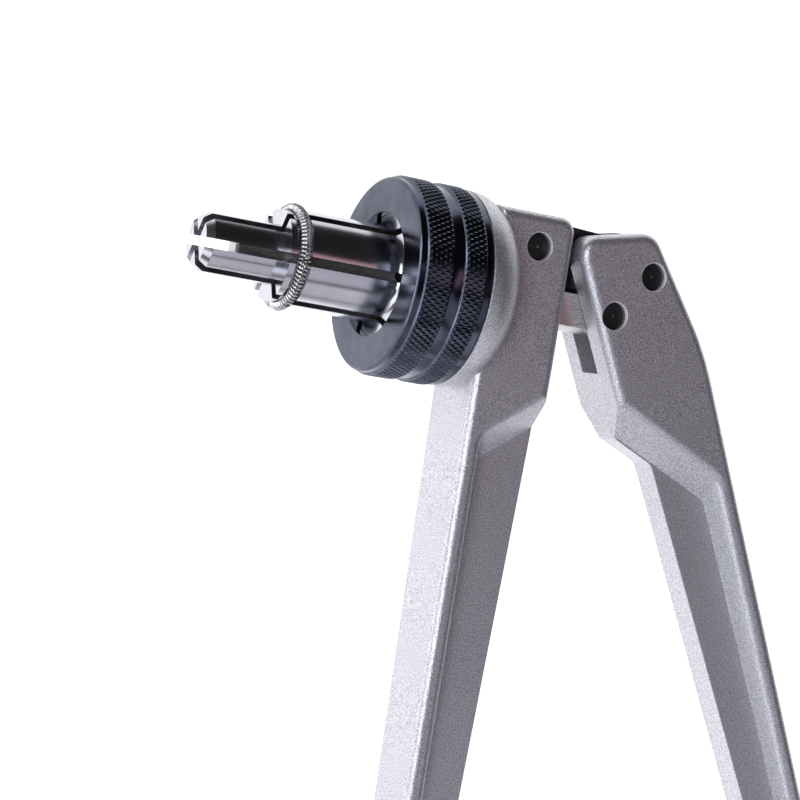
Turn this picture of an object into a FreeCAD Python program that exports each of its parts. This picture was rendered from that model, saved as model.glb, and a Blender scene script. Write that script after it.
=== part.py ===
import FreeCAD, Part
import math
import os
import Sketcher

# Expander for plastic pipe: two cast handles push a cone through six jaws.
# Frame: X runs back along the head's axis from the jaws' pipe stop, the handles point to -Y,
# and Z is across the castings. All sizes are millimetres and degrees.

SIZES = {
    # Head axis, from the pipe stop backwards
    "shank_length": 22.2,
    "collar_width": 16.2,
    "collar_radius": 20.0,
    "collar_face_radius": 19.0,
    "collar_bevel": 0.9,
    "collar_lip": 1.8,
    "collar_hole_radius": 12.4,
    "collar_groove_start": 7.4,
    "collar_groove_width": 2.3,
    "collar_groove_depth": 0.6,
    "collar_tail_width": 1.7,
    "collar_tail_radius": 19.6,
    "sleeve_radius": 16.0,
    "thread_clearance": 0.05,
    "sleeve_reach": 7.2,
    "sleeve_bore_radius": 10.2,
    "spigot_radius": 13.0,
    "spigot_length": 7.1,
    "seat_clearance": 0.02,
    "retainer_thickness": 2.2,
    "retainer_hole_radius": 10.4,
    "retainer_gap": 0.45,
    # Jaws, at their widest
    "jaw_count": 6,
    "jaw_turn": -3.0,
    "jaw_closing": 0.84,
    "jaw_slot": 2.74,
    "nose_length": 16.0,
    "nose_radius": 6.75,
    "nose_tip_radius": 5.6,
    "nose_tip_length": 1.4,
    "stop_radius": 9.85,
    "jaw_shank_radius": 10.45,
    "jaw_neck_fillet": 2.4,
    "jaw_flange_radius": 15.35,
    "jaw_flange_play": 0.1,
    "cone_radius_at_stop": 4.82,
    "cone_slope": 0.187,
    "spring_station": 2.8,
    "spring_wire_radius": 1.2,
    "spring_ring_radius": 9.46,
    "spring_groove_radius": 1.5,
    # Cone and ram
    "cone_front": 8.5,
    "cone_back": 30.0,
    "cone_clearance": 0.07,
    "cone_tip_chamfer": 0.5,
    "spigot_rod_radius": 3.0,
    "spigot_rod_length": 12.0,
    "cone_pin_radius": 1.25,
    "cone_pin_station": 6.0,
    "rod_radius": 4.45,
    "rod_clearance": 0.05,
    "casting_bore_clearance": 0.2,
    "bush_radius": 6.0,
    "tongue_length": 16.2,
    "tongue_thickness": 6.0,
    # Pivots
    "pin_radius": 2.85,
    "pin_clearance": 0.05,
    "pin_recess": 1.5,
    "pin_chamfer": 0.4,
    "pin_dimple_radius": 0.55,
    "pin_dimple_depth": 0.35,
    "front_pivot_inset": 7.9,
    "front_pivot_height": 10.8,
    "ram_pivot_gap": 11.6,
    "link_pivot_along": 10.8,
    "link_pivot_up": 4.9,
    # Link
    "link_thickness": 6.0,
    "link_eye_offset_x": 0.42,
    "link_eye_offset_y": 0.70,
    "link_eye_travel": 0.95,
    "link_front_eye_radius": 5.4,
    "link_rear_eye_radius": 4.3,
    "link_back_rise": 6.6,
    "link_back_inset": 7.6,
    "link_waist": 2.1,
    "link_back_corner": 3.0,
    "slot_clearance": 0.1,
    # Both castings
    "head_half_thickness": 9.2,
    "arm_half_thickness": 7.3,
    "thickness_taper_start": 12.0,
    "thickness_taper_end": 118.0,
    "web_half_thickness": 3.5,
    "pocket_overrun": 0.5,
    "pocket_wall_run": 2.4,
    "pocket_end": 196.0,
    "pocket_end_run": 6.0,
    "pocket_floor_fillet": 3.0,
    "pocket_rim_fillet": 4.5,
    "edge_fillet": 2.0,
    "arm_length": 358.0,
    "arm_end_fillet": 4.0,
    "bend_radius": 400.0,
    # Front casting
    "head_depth": 22.2,
    "head_top": 17.5,
    "head_top_fillet": 3.0,
    "head_drop": 22.0,
    "arm_inset": 4.5,
    "front_tang_inset": 5.5,
    "front_tang_width": 13.1,
    "boss_radius": 19.7,
    "boss_shoulder_depth": 8.8,
    "boss_shoulder_radius": 8.2,
    "front_pocket_foot": 24.6,
    "front_pocket_slope": 0.7,
    "front_ramp_rise": 8.0,
    "front_wall_inset": 5.9,
    "front_wall_drift": 0.9,
    "front_slot_depth": 14.8,
    "front_slot_floor": 2.0,
    # Rear casting, in a frame at the ram pivot with its arm upright
    "rear_opening_angle": 26.5,
    "rear_front_edge": 3.8,
    "rear_top": 17.7,
    "rear_top_fall": 4.5,
    "rear_top_back": 14.1,
    "rear_nose_fillet": 4.0,
    "rear_crown_fillet": 4.5,
    "rear_shoulder_x": 18.9,
    "rear_shoulder_y": 13.5,
    "rear_shoulder_fillet": 60.0,
    "rear_wrist_x": 18.3,
    "rear_wrist_y": 42.0,
    "rear_throat_y": 25.2,
    "rear_throat_fillet": 2.4,
    "rear_web_x": 2.8,
    "rear_web_y": 33.0,
    "rear_web_fillet": 3.0,
    "rear_tang_x": 5.0,
    "rear_tang_width": 11.9,
    "rear_pocket_foot": 29.1,
    "rear_pocket_slope": 1.19,
    "rear_ramp_rise": 9.1,
    "rear_wall_x": 12.6,
    "rear_wall_drift": 1.2,
    "rear_slot_floor": 11.3,
    "rear_slot_corner": 5.5,
    "rear_slot_exit_x": 22.0,
    "rear_slot_exit_y": 4.0,
    # Grips
    "grip_start": 215.0,
    "grip_end_wall": 7.0,
    "grip_width": 23.0,
    "grip_height": 27.0,
    "grip_corner": 10.5,
    "grip_flange_width": 26.6,
    "grip_flange_height": 31.0,
    "grip_flange_length": 5.0,
    "grip_flange_fillet": 1.5,
    "grip_end_fillet": 6.0,
}

SHEET = "Sizes"
CUT_MARGIN = 5.0    # how far a cutting shape reaches past what it cuts
LEVEL = 0.01        # heights closer than this are one level
BOX_SLACK = 0.1     # how far an edge's bounding box may stand off it


class Size:
    """A length or angle: the formula that the document keeps, and its value now."""

    def __init__(self, text, value):
        self.text = text
        self.value = value

    def combined(self, sign, other, value):
        return Size(f"({self.text} {sign} {as_size(other).text})", value)

    def __add__(self, other):
        return self.combined("+", other, self.value + as_size(other).value)

    def __sub__(self, other):
        return self.combined("-", other, self.value - as_size(other).value)

    def __mul__(self, other):
        return self.combined("*", other, self.value * as_size(other).value)

    def __truediv__(self, other):
        return self.combined("/", other, self.value / as_size(other).value)

    def __radd__(self, other):
        return as_size(other) + self

    def __rsub__(self, other):
        return as_size(other) - self

    def __rmul__(self, other):
        return as_size(other) * self

    def __rtruediv__(self, other):
        return as_size(other) / self

    def __neg__(self):
        return Size(f"(0 - {self.text})", -self.value)


def as_size(number):
    return number if isinstance(number, Size) else Size(f"{number:g}", float(number))


def cosine(angle):
    return Size(f"cos({angle.text} * 1 deg)", math.cos(math.radians(angle.value)))


def sine(angle):
    return Size(f"sin({angle.text} * 1 deg)", math.sin(math.radians(angle.value)))


class Dimensions:
    """The sheet's sizes, each read by its name."""

    def __init__(self, document):
        sheet = document.addObject("Spreadsheet::Sheet", SHEET)
        for row, (name, value) in enumerate(SIZES.items(), start=1):
            sheet.set(f"A{row}", name)
            sheet.set(f"B{row}", str(value))
            sheet.setAlias(f"B{row}", name)
        document.recompute()
        self.sheet = sheet

    def __getattr__(self, name):
        return Size(f"{SHEET}.{name}", float(self.sheet.get(name)))


def bind(item, path, size):
    item.setExpression(path, as_size(size).text)


def new_body(document, name):
    body = document.addObject("PartDesign::Body", name)
    body.Label = name
    return body


def new_sketch(body, role, height=None):
    sketch = body.newObject("Sketcher::SketchObject", body.Label + "_sketch")
    plane = [item for item in body.Origin.OriginFeatures if item.Role == role][0]
    sketch.AttachmentSupport = (plane, [""])
    sketch.MapMode = "FlatFace"
    if height is not None:
        bind(sketch, "AttachmentOffset.Base.z", height)
    return sketch


def fix_point(sketch, geometry, end, x, y):
    """Hold a point of the sketch at its two coordinates."""
    for kind, size in (("DistanceX", x), ("DistanceY", y)):
        index = sketch.addConstraint(Sketcher.Constraint(kind, -1, 1, geometry, end, size.value))
        bind(sketch, f"Constraints[{index}]", size)


def corner_arc(before, corner, after, radius):
    """Arc that rounds a corner: its geometry, its two ends, and whether it turns left."""
    towards = (before - corner).normalize()
    onwards = (after - corner).normalize()
    half = towards.getAngle(onwards) / 2
    start = corner + towards * (radius / math.tan(half))
    finish = corner + onwards * (radius / math.tan(half))
    centre = corner + (towards + onwards).normalize() * (radius / math.sin(half))
    left = (corner - before).cross(after - corner).z > 0
    first, last = (start, finish) if left else (finish, start)
    first_angle = math.atan2(first.y - centre.y, first.x - centre.x)
    last_angle = math.atan2(last.y - centre.y, last.x - centre.x)
    if last_angle < first_angle:
        last_angle += 2 * math.pi
    circle = Part.Circle(centre, FreeCAD.Vector(0, 0, 1), radius)
    return Part.ArcOfCircle(circle, first_angle, last_angle), start, finish, left


def outline(sketch, corners):
    """Closed outline through corners (x, y) or (x, y, fillet radius)."""
    sizes = [tuple(as_size(number) for number in corner) for corner in corners]
    points = [FreeCAD.Vector(corner[0].value, corner[1].value, 0) for corner in sizes]
    count = len(sizes)
    arcs = {}
    for place, corner in enumerate(sizes):
        if len(corner) == 3:
            after = points[(place + 1) % count]
            arcs[place] = corner_arc(points[place - 1], points[place], after, corner[2].value)
    lines = []
    for place in range(count):
        following = (place + 1) % count
        start = arcs[place][2] if place in arcs else points[place]
        finish = arcs[following][1] if following in arcs else points[following]
        lines.append(sketch.addGeometry(Part.LineSegment(start, finish), False))
    for place, corner in enumerate(sizes):
        line_in = lines[place - 1]
        line_out = lines[place]
        if place not in arcs:
            sketch.addConstraint(Sketcher.Constraint("Coincident", line_in, 2, line_out, 1))
            fix_point(sketch, line_out, 1, corner[0], corner[1])
            continue
        arc = sketch.addGeometry(arcs[place][0], False)
        enter, leave = (1, 2) if arcs[place][3] else (2, 1)
        point = sketch.addGeometry(Part.Point(points[place]), True)
        sketch.addConstraint(Sketcher.Constraint("Tangent", line_in, 2, arc, enter))
        sketch.addConstraint(Sketcher.Constraint("Tangent", line_out, 1, arc, leave))
        sketch.addConstraint(Sketcher.Constraint("PointOnObject", point, 1, line_in))
        sketch.addConstraint(Sketcher.Constraint("PointOnObject", point, 1, line_out))
        fix_point(sketch, point, 1, corner[0], corner[1])
        index = sketch.addConstraint(Sketcher.Constraint("Radius", arc, corner[2].value))
        bind(sketch, f"Constraints[{index}]", corner[2])


def circle(sketch, x, y, radius):
    centre = FreeCAD.Vector(as_size(x).value, as_size(y).value, 0)
    ring = Part.Circle(centre, FreeCAD.Vector(0, 0, 1), as_size(radius).value)
    geometry = sketch.addGeometry(ring, False)
    fix_point(sketch, geometry, 3, as_size(x), as_size(y))
    index = sketch.addConstraint(Sketcher.Constraint("Radius", geometry, as_size(radius).value))
    bind(sketch, f"Constraints[{index}]", radius)


def extrude(body, kind, sketch, length, symmetric=True):
    """Pad or Pocket of a sketch; the length is the whole one."""
    feature = body.newObject(f"PartDesign::{kind}", body.Label + "_" + kind.lower())
    feature.Profile = sketch
    feature.SideType = "Symmetric" if symmetric else "One side"
    bind(feature, "Length", length)
    body.Document.recompute()
    return feature


def turn(body, kind, sketch, axis="H_Axis"):
    """Revolution or Groove of a sketch by a whole turn."""
    feature = body.newObject(f"PartDesign::{kind}", body.Label + "_" + kind.lower())
    feature.Profile = sketch
    feature.ReferenceAxis = (sketch, [axis])
    feature.Angle = 360
    body.Document.recompute()
    return feature


def cut(body, make, *arguments, **options):
    """Make a cutting feature and check that it took material away."""
    before = body.Shape.Volume
    feature = make(body, *arguments, **options)
    if not body.Shape.Volume < before - 1e-6:
        raise RuntimeError(f"{feature.Name} cuts nothing from {body.Label}")
    return feature


def mirror(body, feature):
    """Repeat a feature on the other side of the XY plane."""
    plane = [item for item in body.Origin.OriginFeatures if item.Role == "XY_Plane"][0]
    mirrored = body.newObject("PartDesign::Mirrored", body.Label + "_mirrored")
    mirrored.Originals = [feature]
    mirrored.MirrorPlane = (plane, [""])
    body.Tip = mirrored
    body.Document.recompute()
    return mirrored


def fillet(body, radius, chosen):
    """Round the edges of the body that the test chooses."""
    base = body.Tip
    names = [f"Edge{i}" for i, edge in enumerate(base.Shape.Edges, start=1) if chosen(edge)]
    feature = body.newObject("PartDesign::Fillet", body.Label + "_fillet")
    feature.Base = (base, names)
    bind(feature, "Radius", radius)
    body.Document.recompute()
    return feature


def turned_piece(document, name, profile):
    """A piece of revolution about the head's axis, from its (x, radius) outline."""
    body = new_body(document, name)
    sketch = new_sketch(body, "XY_Plane")
    outline(sketch, profile)
    turn(body, "Revolution", sketch)
    return body


def stations(size):
    """Places along the head's axis that more than one piece uses."""
    places = {}
    places["collar_face"] = size.shank_length
    places["seat"] = size.shank_length + size.collar_width
    places["lip_back"] = places["collar_face"] + size.collar_lip
    places["sleeve_front"] = places["seat"] - size.sleeve_reach
    places["retainer_front"] = places["sleeve_front"] - size.retainer_thickness
    places["bush_back"] = places["seat"] + size.spigot_length
    places["head_back"] = places["seat"] + size.head_depth
    places["ram_pivot"] = places["head_back"] + size.ram_pivot_gap
    return places


def collar(document, size):
    """Screw collar: a cup with a lip in front, two raised bands and a plain tail."""
    at = stations(size)
    front = at["collar_face"]
    bore = size.sleeve_radius + size.thread_clearance
    groove = front + size.collar_groove_start
    groove_end = groove + size.collar_groove_width
    groove_radius = size.collar_radius - size.collar_groove_depth
    tail = at["seat"] - size.collar_tail_width
    return turned_piece(document, "collar", [
        (front, size.collar_hole_radius),
        (at["lip_back"], size.collar_hole_radius),
        (at["lip_back"], bore),
        (at["seat"], bore),
        (at["seat"], size.collar_tail_radius),
        (tail, size.collar_tail_radius),
        (tail, size.collar_radius),
        (groove_end, size.collar_radius),
        (groove_end, groove_radius),
        (groove, groove_radius),
        (groove, size.collar_radius),
        (front + size.collar_bevel, size.collar_radius),
        (front, size.collar_face_radius),
    ])


def thread_sleeve(document, size):
    """Threaded sleeve: the collar screws on its rim and its spigot sits in the casting."""
    at = stations(size)
    return turned_piece(document, "thread_sleeve", [
        (at["sleeve_front"], size.sleeve_bore_radius),
        (at["seat"], size.sleeve_bore_radius),
        (at["seat"], size.bush_radius),
        (at["bush_back"], size.bush_radius),
        (at["bush_back"], size.spigot_radius),
        (at["seat"], size.spigot_radius),
        (at["seat"], size.sleeve_radius),
        (at["sleeve_front"], size.sleeve_radius),
    ])


def jaw_retainer(document, size):
    """Washer between the sleeve and the jaws' flanges."""
    at = stations(size)
    rim = size.sleeve_radius - size.retainer_gap
    return turned_piece(document, "jaw_retainer", [
        (at["retainer_front"], size.retainer_hole_radius),
        (at["sleeve_front"], size.retainer_hole_radius),
        (at["sleeve_front"], rim),
        (at["retainer_front"], rim),
    ])


def guide_bush(document, size):
    """Bush in the sleeve's end wall, in which the ram slides."""
    at = stations(size)
    bore = size.rod_radius + size.rod_clearance
    return turned_piece(document, "guide_bush", [
        (at["seat"], bore),
        (at["bush_back"], bore),
        (at["bush_back"], size.bush_radius),
        (at["seat"], size.bush_radius),
    ])


def cone_radius(size, station):
    """Radius of the jaws' tapered bore at a station, with the jaws at their widest."""
    return size.cone_radius_at_stop + size.cone_slope * station


def jaw(document, size, number):
    """One jaw: a slice of a turned shell, with a parallel gap to each neighbour."""
    at = stations(size)
    body = new_body(document, f"jaw_{number}")
    flange_front = at["lip_back"] + size.jaw_flange_play
    flange_back = at["retainer_front"] - size.jaw_flange_play
    sketch = new_sketch(body, "XY_Plane")
    outline(sketch, [
        (-size.nose_length, cone_radius(size, -size.nose_length)),
        (flange_back, cone_radius(size, flange_back)),
        (flange_back, size.jaw_flange_radius),
        (flange_front, size.jaw_flange_radius),
        (flange_front, size.jaw_shank_radius, size.jaw_neck_fillet),
        (size.spring_station, size.jaw_shank_radius),
        (size.spring_station, size.stop_radius),
        (0, size.stop_radius),
        (0, size.nose_radius),
        (size.nose_tip_length - size.nose_length, size.nose_radius),
        (-size.nose_length, size.nose_tip_radius),
    ])
    turn(body, "Revolution", sketch)
    groove = new_sketch(body, "XY_Plane")
    groove_height = size.spring_ring_radius + size.jaw_closing
    circle(groove, size.spring_station, groove_height, size.spring_groove_radius)
    cut(body, turn, "Groove", groove)
    keep_slice(body, size)
    body.Placement = jaw_placement(size, number)
    return body


def keep_slice(body, size):
    """Cut away everything outside one jaw's wedge, half a slot inside its sector."""
    half_angle = 180 / size.jaw_count
    apex = size.jaw_slot / 2 / sine(half_angle)
    far = 2 * size.jaw_flange_radius
    across = apex + far * cosine(half_angle)
    rise = far * sine(half_angle)
    sketch = new_sketch(body, "YZ_Plane")
    outline(sketch, [
        (apex, 0),
        (across, rise),
        (across, far),
        (-far, far),
        (-far, -far),
        (across, -far),
        (across, -rise),
    ])
    cut(body, extrude, "Pocket", sketch, 4 * size.shank_length)


def jaw_placement(size, number):
    """Turn a jaw to its place round the axis and draw it in to the rest position."""
    step = 360 / size.jaw_count.value
    slot_angle = 90 - size.jaw_turn.value
    angle = slot_angle + step * (number - 0.5)
    rotation = FreeCAD.Rotation(FreeCAD.Vector(1, 0, 0), angle)
    inward = rotation.multVec(FreeCAD.Vector(0, -size.jaw_closing.value, 0))
    return FreeCAD.Placement(inward, rotation)


def garter_spring(document, size):
    """Ring of coiled wire in the jaws' groove, as its outer shape."""
    ring = document.addObject("Part::Torus", "garter_spring")
    ring.Label = "garter_spring"
    bind(ring, "Radius1", size.spring_ring_radius)
    bind(ring, "Radius2", size.spring_wire_radius)
    ring.Placement = FreeCAD.Placement(
        FreeCAD.Vector(size.spring_station.value, 0, 0),
        FreeCAD.Rotation(FreeCAD.Vector(0, 1, 0), 90))
    return ring


def cone(document, size):
    """Tapered mandrel with a socket for the ram and a cross hole for its pin."""
    body = new_body(document, "cone")
    inset = size.jaw_closing + size.cone_clearance
    tip_radius = cone_radius(size, -size.cone_front) - inset
    base_radius = cone_radius(size, size.cone_back) - inset
    socket = size.cone_back - size.spigot_rod_length
    sketch = new_sketch(body, "XY_Plane")
    outline(sketch, [
        (-size.cone_front, 0),
        (socket, 0),
        (socket, size.spigot_rod_radius),
        (size.cone_back, size.spigot_rod_radius),
        (size.cone_back, base_radius),
        (-size.cone_front + size.cone_tip_chamfer, tip_radius),
        (-size.cone_front, tip_radius - size.cone_tip_chamfer),
    ])
    turn(body, "Revolution", sketch)
    hole = new_sketch(body, "XY_Plane")
    circle(hole, size.cone_back - size.cone_pin_station, 0, size.cone_pin_radius)
    cut(body, extrude, "Pocket", hole, 4 * size.jaw_shank_radius)
    return body


def cone_pin(document, size):
    """Cross pin, a little shorter than the cone is wide."""
    body = new_body(document, "cone_pin")
    sketch = new_sketch(body, "XY_Plane")
    station = size.cone_back - size.cone_pin_station
    circle(sketch, station, 0, size.cone_pin_radius)
    reach = cone_radius(size, station) - size.jaw_closing - size.pin_recess
    extrude(body, "Pad", sketch, 2 * reach)
    return body


def ram(document, size):
    """Push rod: a spigot in the cone, a round shank, and a flat tongue with an eye."""
    at = stations(size)
    body = new_body(document, "ram")
    sketch = new_sketch(body, "XY_Plane")
    outline(sketch, [
        (size.cone_back - size.spigot_rod_length, 0),
        (at["ram_pivot"], 0),
        (at["ram_pivot"], size.rod_radius),
        (size.cone_back, size.rod_radius),
        (size.cone_back, size.spigot_rod_radius),
        (size.cone_back - size.spigot_rod_length, size.spigot_rod_radius),
    ])
    turn(body, "Revolution", sketch)
    half = size.tongue_thickness / 2
    flat = new_sketch(body, "XZ_Plane")
    outline(flat, [
        (at["ram_pivot"] - size.tongue_length, half),
        (at["ram_pivot"] + CUT_MARGIN, half),
        (at["ram_pivot"] + CUT_MARGIN, half + CUT_MARGIN),
        (at["ram_pivot"] - size.tongue_length, half + CUT_MARGIN),
    ])
    flat_cut = cut(body, extrude, "Pocket", flat, 4 * size.rod_radius)
    mirror(body, flat_cut)
    eye = new_sketch(body, "XY_Plane")
    circle(eye, at["ram_pivot"], 0, size.rod_radius)
    extrude(body, "Pad", eye, size.tongue_thickness)
    hole = new_sketch(body, "XY_Plane")
    circle(hole, at["ram_pivot"], 0, size.pin_radius + size.pin_clearance)
    cut(body, extrude, "Pocket", hole, 2 * size.tongue_thickness)
    cross = new_sketch(body, "XY_Plane")
    circle(cross, size.cone_back - size.cone_pin_station, 0, size.cone_pin_radius)
    cut(body, extrude, "Pocket", cross, 4 * size.rod_radius)
    return body


def rear_frame(size):
    """Placement of the rear casting's own frame: at the ram pivot, opened by its angle."""
    at = stations(size)
    rotation = FreeCAD.Rotation(FreeCAD.Vector(0, 0, 1), size.rear_opening_angle.value)
    return FreeCAD.Placement(FreeCAD.Vector(at["ram_pivot"].value, 0, 0), rotation)


def pivots(size):
    """Pivot centres in the head's frame: the front pin, the link's front eye and the rear pin."""
    at = stations(size)
    angle = size.rear_opening_angle
    front = (at["head_back"] - size.front_pivot_inset, size.front_pivot_height)
    eye = (front[0] + size.link_eye_offset_x, front[1] + size.link_eye_offset_y)
    along = size.link_pivot_along
    rise = size.link_pivot_up
    rear = (
        at["ram_pivot"] + along * cosine(angle) - rise * sine(angle),
        along * sine(angle) + rise * cosine(angle),
    )
    return front, eye, rear


def link(document, size):
    """Tie link between the castings: two eyes and a bar with a straight back."""
    front, eye, rear = pivots(size)
    body = new_body(document, "link")
    top = eye[1] + size.link_front_eye_radius
    back = rear[1] + size.link_back_rise
    bar = new_sketch(body, "XY_Plane")
    outline(bar, [
        (eye[0], top),
        (eye[0], eye[1] - size.link_waist),
        (rear[0], rear[1] - size.link_waist),
        (rear[0] + size.link_rear_eye_radius, rear[1]),
        (rear[0] + size.link_rear_eye_radius, rear[1] + size.link_waist),
        (rear[0] - size.link_back_inset + size.link_rear_eye_radius, back,
         size.link_back_corner),
    ])
    extrude(body, "Pad", bar, size.link_thickness)
    for place, radius in ((eye, size.link_front_eye_radius), (rear, size.link_rear_eye_radius)):
        disc = new_sketch(body, "XY_Plane")
        circle(disc, place[0], place[1], radius)
        extrude(body, "Pad", disc, size.link_thickness)
    running = size.pin_radius + size.pin_clearance
    for place, radius in ((eye, running + size.link_eye_travel), (rear, running)):
        hole = new_sketch(body, "XY_Plane")
        circle(hole, place[0], place[1], radius)
        cut(body, extrude, "Pocket", hole, 2 * size.link_thickness)
    return body


def pivot_pin(document, size, name, place):
    """Pin flush-set in a casting, with a chamfered rim and a centre mark at each end."""
    body = new_body(document, name)
    half = size.head_half_thickness - size.pin_recess
    sketch = new_sketch(body, "XZ_Plane")
    outline(sketch, [
        (0, -half + size.pin_dimple_depth),
        (size.pin_dimple_radius, -half),
        (size.pin_radius - size.pin_chamfer, -half),
        (size.pin_radius, -half + size.pin_chamfer),
        (size.pin_radius, half - size.pin_chamfer),
        (size.pin_radius - size.pin_chamfer, half),
        (size.pin_dimple_radius, half),
        (0, half - size.pin_dimple_depth),
    ])
    turn(body, "Revolution", sketch, "V_Axis")
    body.Placement = FreeCAD.Placement(FreeCAD.Vector(place[0].value, place[1].value, 0),
                                       FreeCAD.Rotation())
    return body


def taper_sides(body, size):
    """Bring both sides of the thick blank down to the head's thickness and the thinner arm's."""
    end = size.arm_length + CUT_MARGIN
    top = size.boss_radius + CUT_MARGIN
    outside = size.head_half_thickness + 2 * CUT_MARGIN
    sketch = new_sketch(body, "YZ_Plane")
    outline(sketch, [
        (top, size.head_half_thickness),
        (top, outside),
        (-end, outside),
        (-end, size.arm_half_thickness),
        (-size.thickness_taper_end, size.arm_half_thickness, size.bend_radius),
        (-size.thickness_taper_start, size.head_half_thickness, size.bend_radius),
    ])
    side = cut(body, extrude, "Pocket", sketch, 8 * size.collar_radius)
    mirror(body, side)


def side_pocket(body, size, floor, rim):
    """Open pocket in each side, from its floor on the web out to its rim."""
    low = new_sketch(body, "XY_Plane", size.web_half_thickness)
    outline(low, floor)
    high = new_sketch(body, "XY_Plane", size.head_half_thickness + size.pocket_overrun)
    outline(high, rim)
    before = body.Shape.Volume
    loft = body.newObject("PartDesign::SubtractiveLoft", body.Label + "_pocket")
    loft.Profile = low
    loft.Sections = [high]
    loft.Ruled = True
    body.Document.recompute()
    mirror(body, loft)
    if not body.Shape.Volume < before:
        raise RuntimeError(f"the side pocket cuts nothing from {body.Label}")


def high_edge(size, edge):
    """Whether an edge lies on one of a casting's two sides."""
    box = edge.BoundBox
    nearest = min(abs(box.ZMin), abs(box.ZMax))
    one_side = box.ZMin * box.ZMax > 0
    return one_side and nearest > size.arm_half_thickness.value - BOX_SLACK


def round_sides(body, size):
    """Round the edges of a casting's two sides, but not the seams across its taper."""
    taper_end = -(size.thickness_taper_end + size.thickness_taper_start).value

    def chosen(edge):
        box = edge.BoundBox
        seam = box.YMax - box.YMin < LEVEL and taper_end < box.YMax < 0
        return high_edge(size, edge) and not seam

    fillet(body, size.edge_fillet, chosen)


def front_handle(document, size):
    """Front casting: a round seat for the collar, a head with a link slot, and an arm."""
    at = stations(size)
    back = at["head_back"]
    left = at["seat"] + size.arm_inset
    tang_left = at["seat"] + size.front_tang_inset
    tang_right = tang_left + size.front_tang_width
    body = new_body(document, "front_handle")
    plan = new_sketch(body, "XY_Plane")
    outline(plan, [
        (left, size.head_top),
        (left, -size.thickness_taper_start, size.bend_radius),
        (tang_left, -size.thickness_taper_end, size.bend_radius),
        (tang_left, -size.arm_length, size.arm_end_fillet),
        (tang_right, -size.arm_length, size.arm_end_fillet),
        (tang_right, -size.thickness_taper_end, size.bend_radius),
        (back, -size.head_drop, size.bend_radius),
        (back, size.head_top, size.head_top_fillet),
    ])
    extrude(body, "Pad", plan, 2 * (size.head_half_thickness + CUT_MARGIN))
    taper_sides(body, size)
    side_pocket(body, size, *front_pocket(size, back, left))
    round_sides(body, size)
    boss(body, size, at)
    link_slot = new_sketch(body, "XY_Plane")
    outline(link_slot, [
        (back - size.front_slot_depth, size.front_slot_floor),
        (back + CUT_MARGIN, size.front_slot_floor),
        (back + CUT_MARGIN, size.boss_radius + CUT_MARGIN),
        (back - size.front_slot_depth, size.boss_radius + CUT_MARGIN),
    ])
    cut(body, extrude, "Pocket", link_slot, size.link_thickness + 2 * size.slot_clearance)
    front = pivots(size)[0]
    hole = new_sketch(body, "XY_Plane")
    circle(hole, front[0], front[1], size.pin_radius)
    cut(body, extrude, "Pocket", hole, 4 * size.head_half_thickness)
    return body


def front_pocket(size, back, left):
    """Floor and rim outlines of the front arm's side pocket, open at the back edge."""
    outside = back + CUT_MARGIN
    foot = -size.front_pocket_foot
    wall = left + size.front_wall_inset
    wall_low = wall + size.front_wall_drift
    rim = wall - size.pocket_wall_run
    rim_low = wall_low - size.pocket_wall_run
    slope = size.front_pocket_slope
    floor_outline = [
        (outside, foot + slope * CUT_MARGIN),
        (wall, foot - slope * (back - wall), size.pocket_floor_fillet),
        (wall_low, -size.pocket_end, size.pocket_floor_fillet),
        (outside, -size.pocket_end),
    ]
    rim_end = -size.pocket_end - size.pocket_end_run
    rim_foot = foot + size.front_ramp_rise
    rim_outline = [
        (outside, rim_foot + slope * CUT_MARGIN),
        (rim, rim_foot - slope * (back - rim), size.pocket_rim_fillet),
        (rim_low, rim_end, size.pocket_rim_fillet),
        (outside, rim_end),
    ]
    return floor_outline, rim_outline


def boss(body, size, at):
    """Round seat behind the collar, with a domed shoulder, bored for the sleeve and the ram."""
    seat = at["seat"]
    sketch = new_sketch(body, "XY_Plane")
    outline(sketch, [
        (seat, 0),
        (seat + size.boss_shoulder_depth, 0),
        (seat + size.boss_shoulder_depth, size.boss_radius, size.boss_shoulder_radius),
        (seat, size.boss_radius),
    ])
    turn(body, "Revolution", sketch)
    bore = size.spigot_radius + size.seat_clearance
    rod = size.rod_radius + size.casting_bore_clearance
    cavity = new_sketch(body, "XY_Plane")
    outline(cavity, [
        (seat - CUT_MARGIN, 0),
        (at["head_back"] + CUT_MARGIN, 0),
        (at["head_back"] + CUT_MARGIN, rod),
        (at["bush_back"], rod),
        (at["bush_back"], bore),
        (seat - CUT_MARGIN, bore),
    ])
    cut(body, turn, "Groove", cavity)


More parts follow.
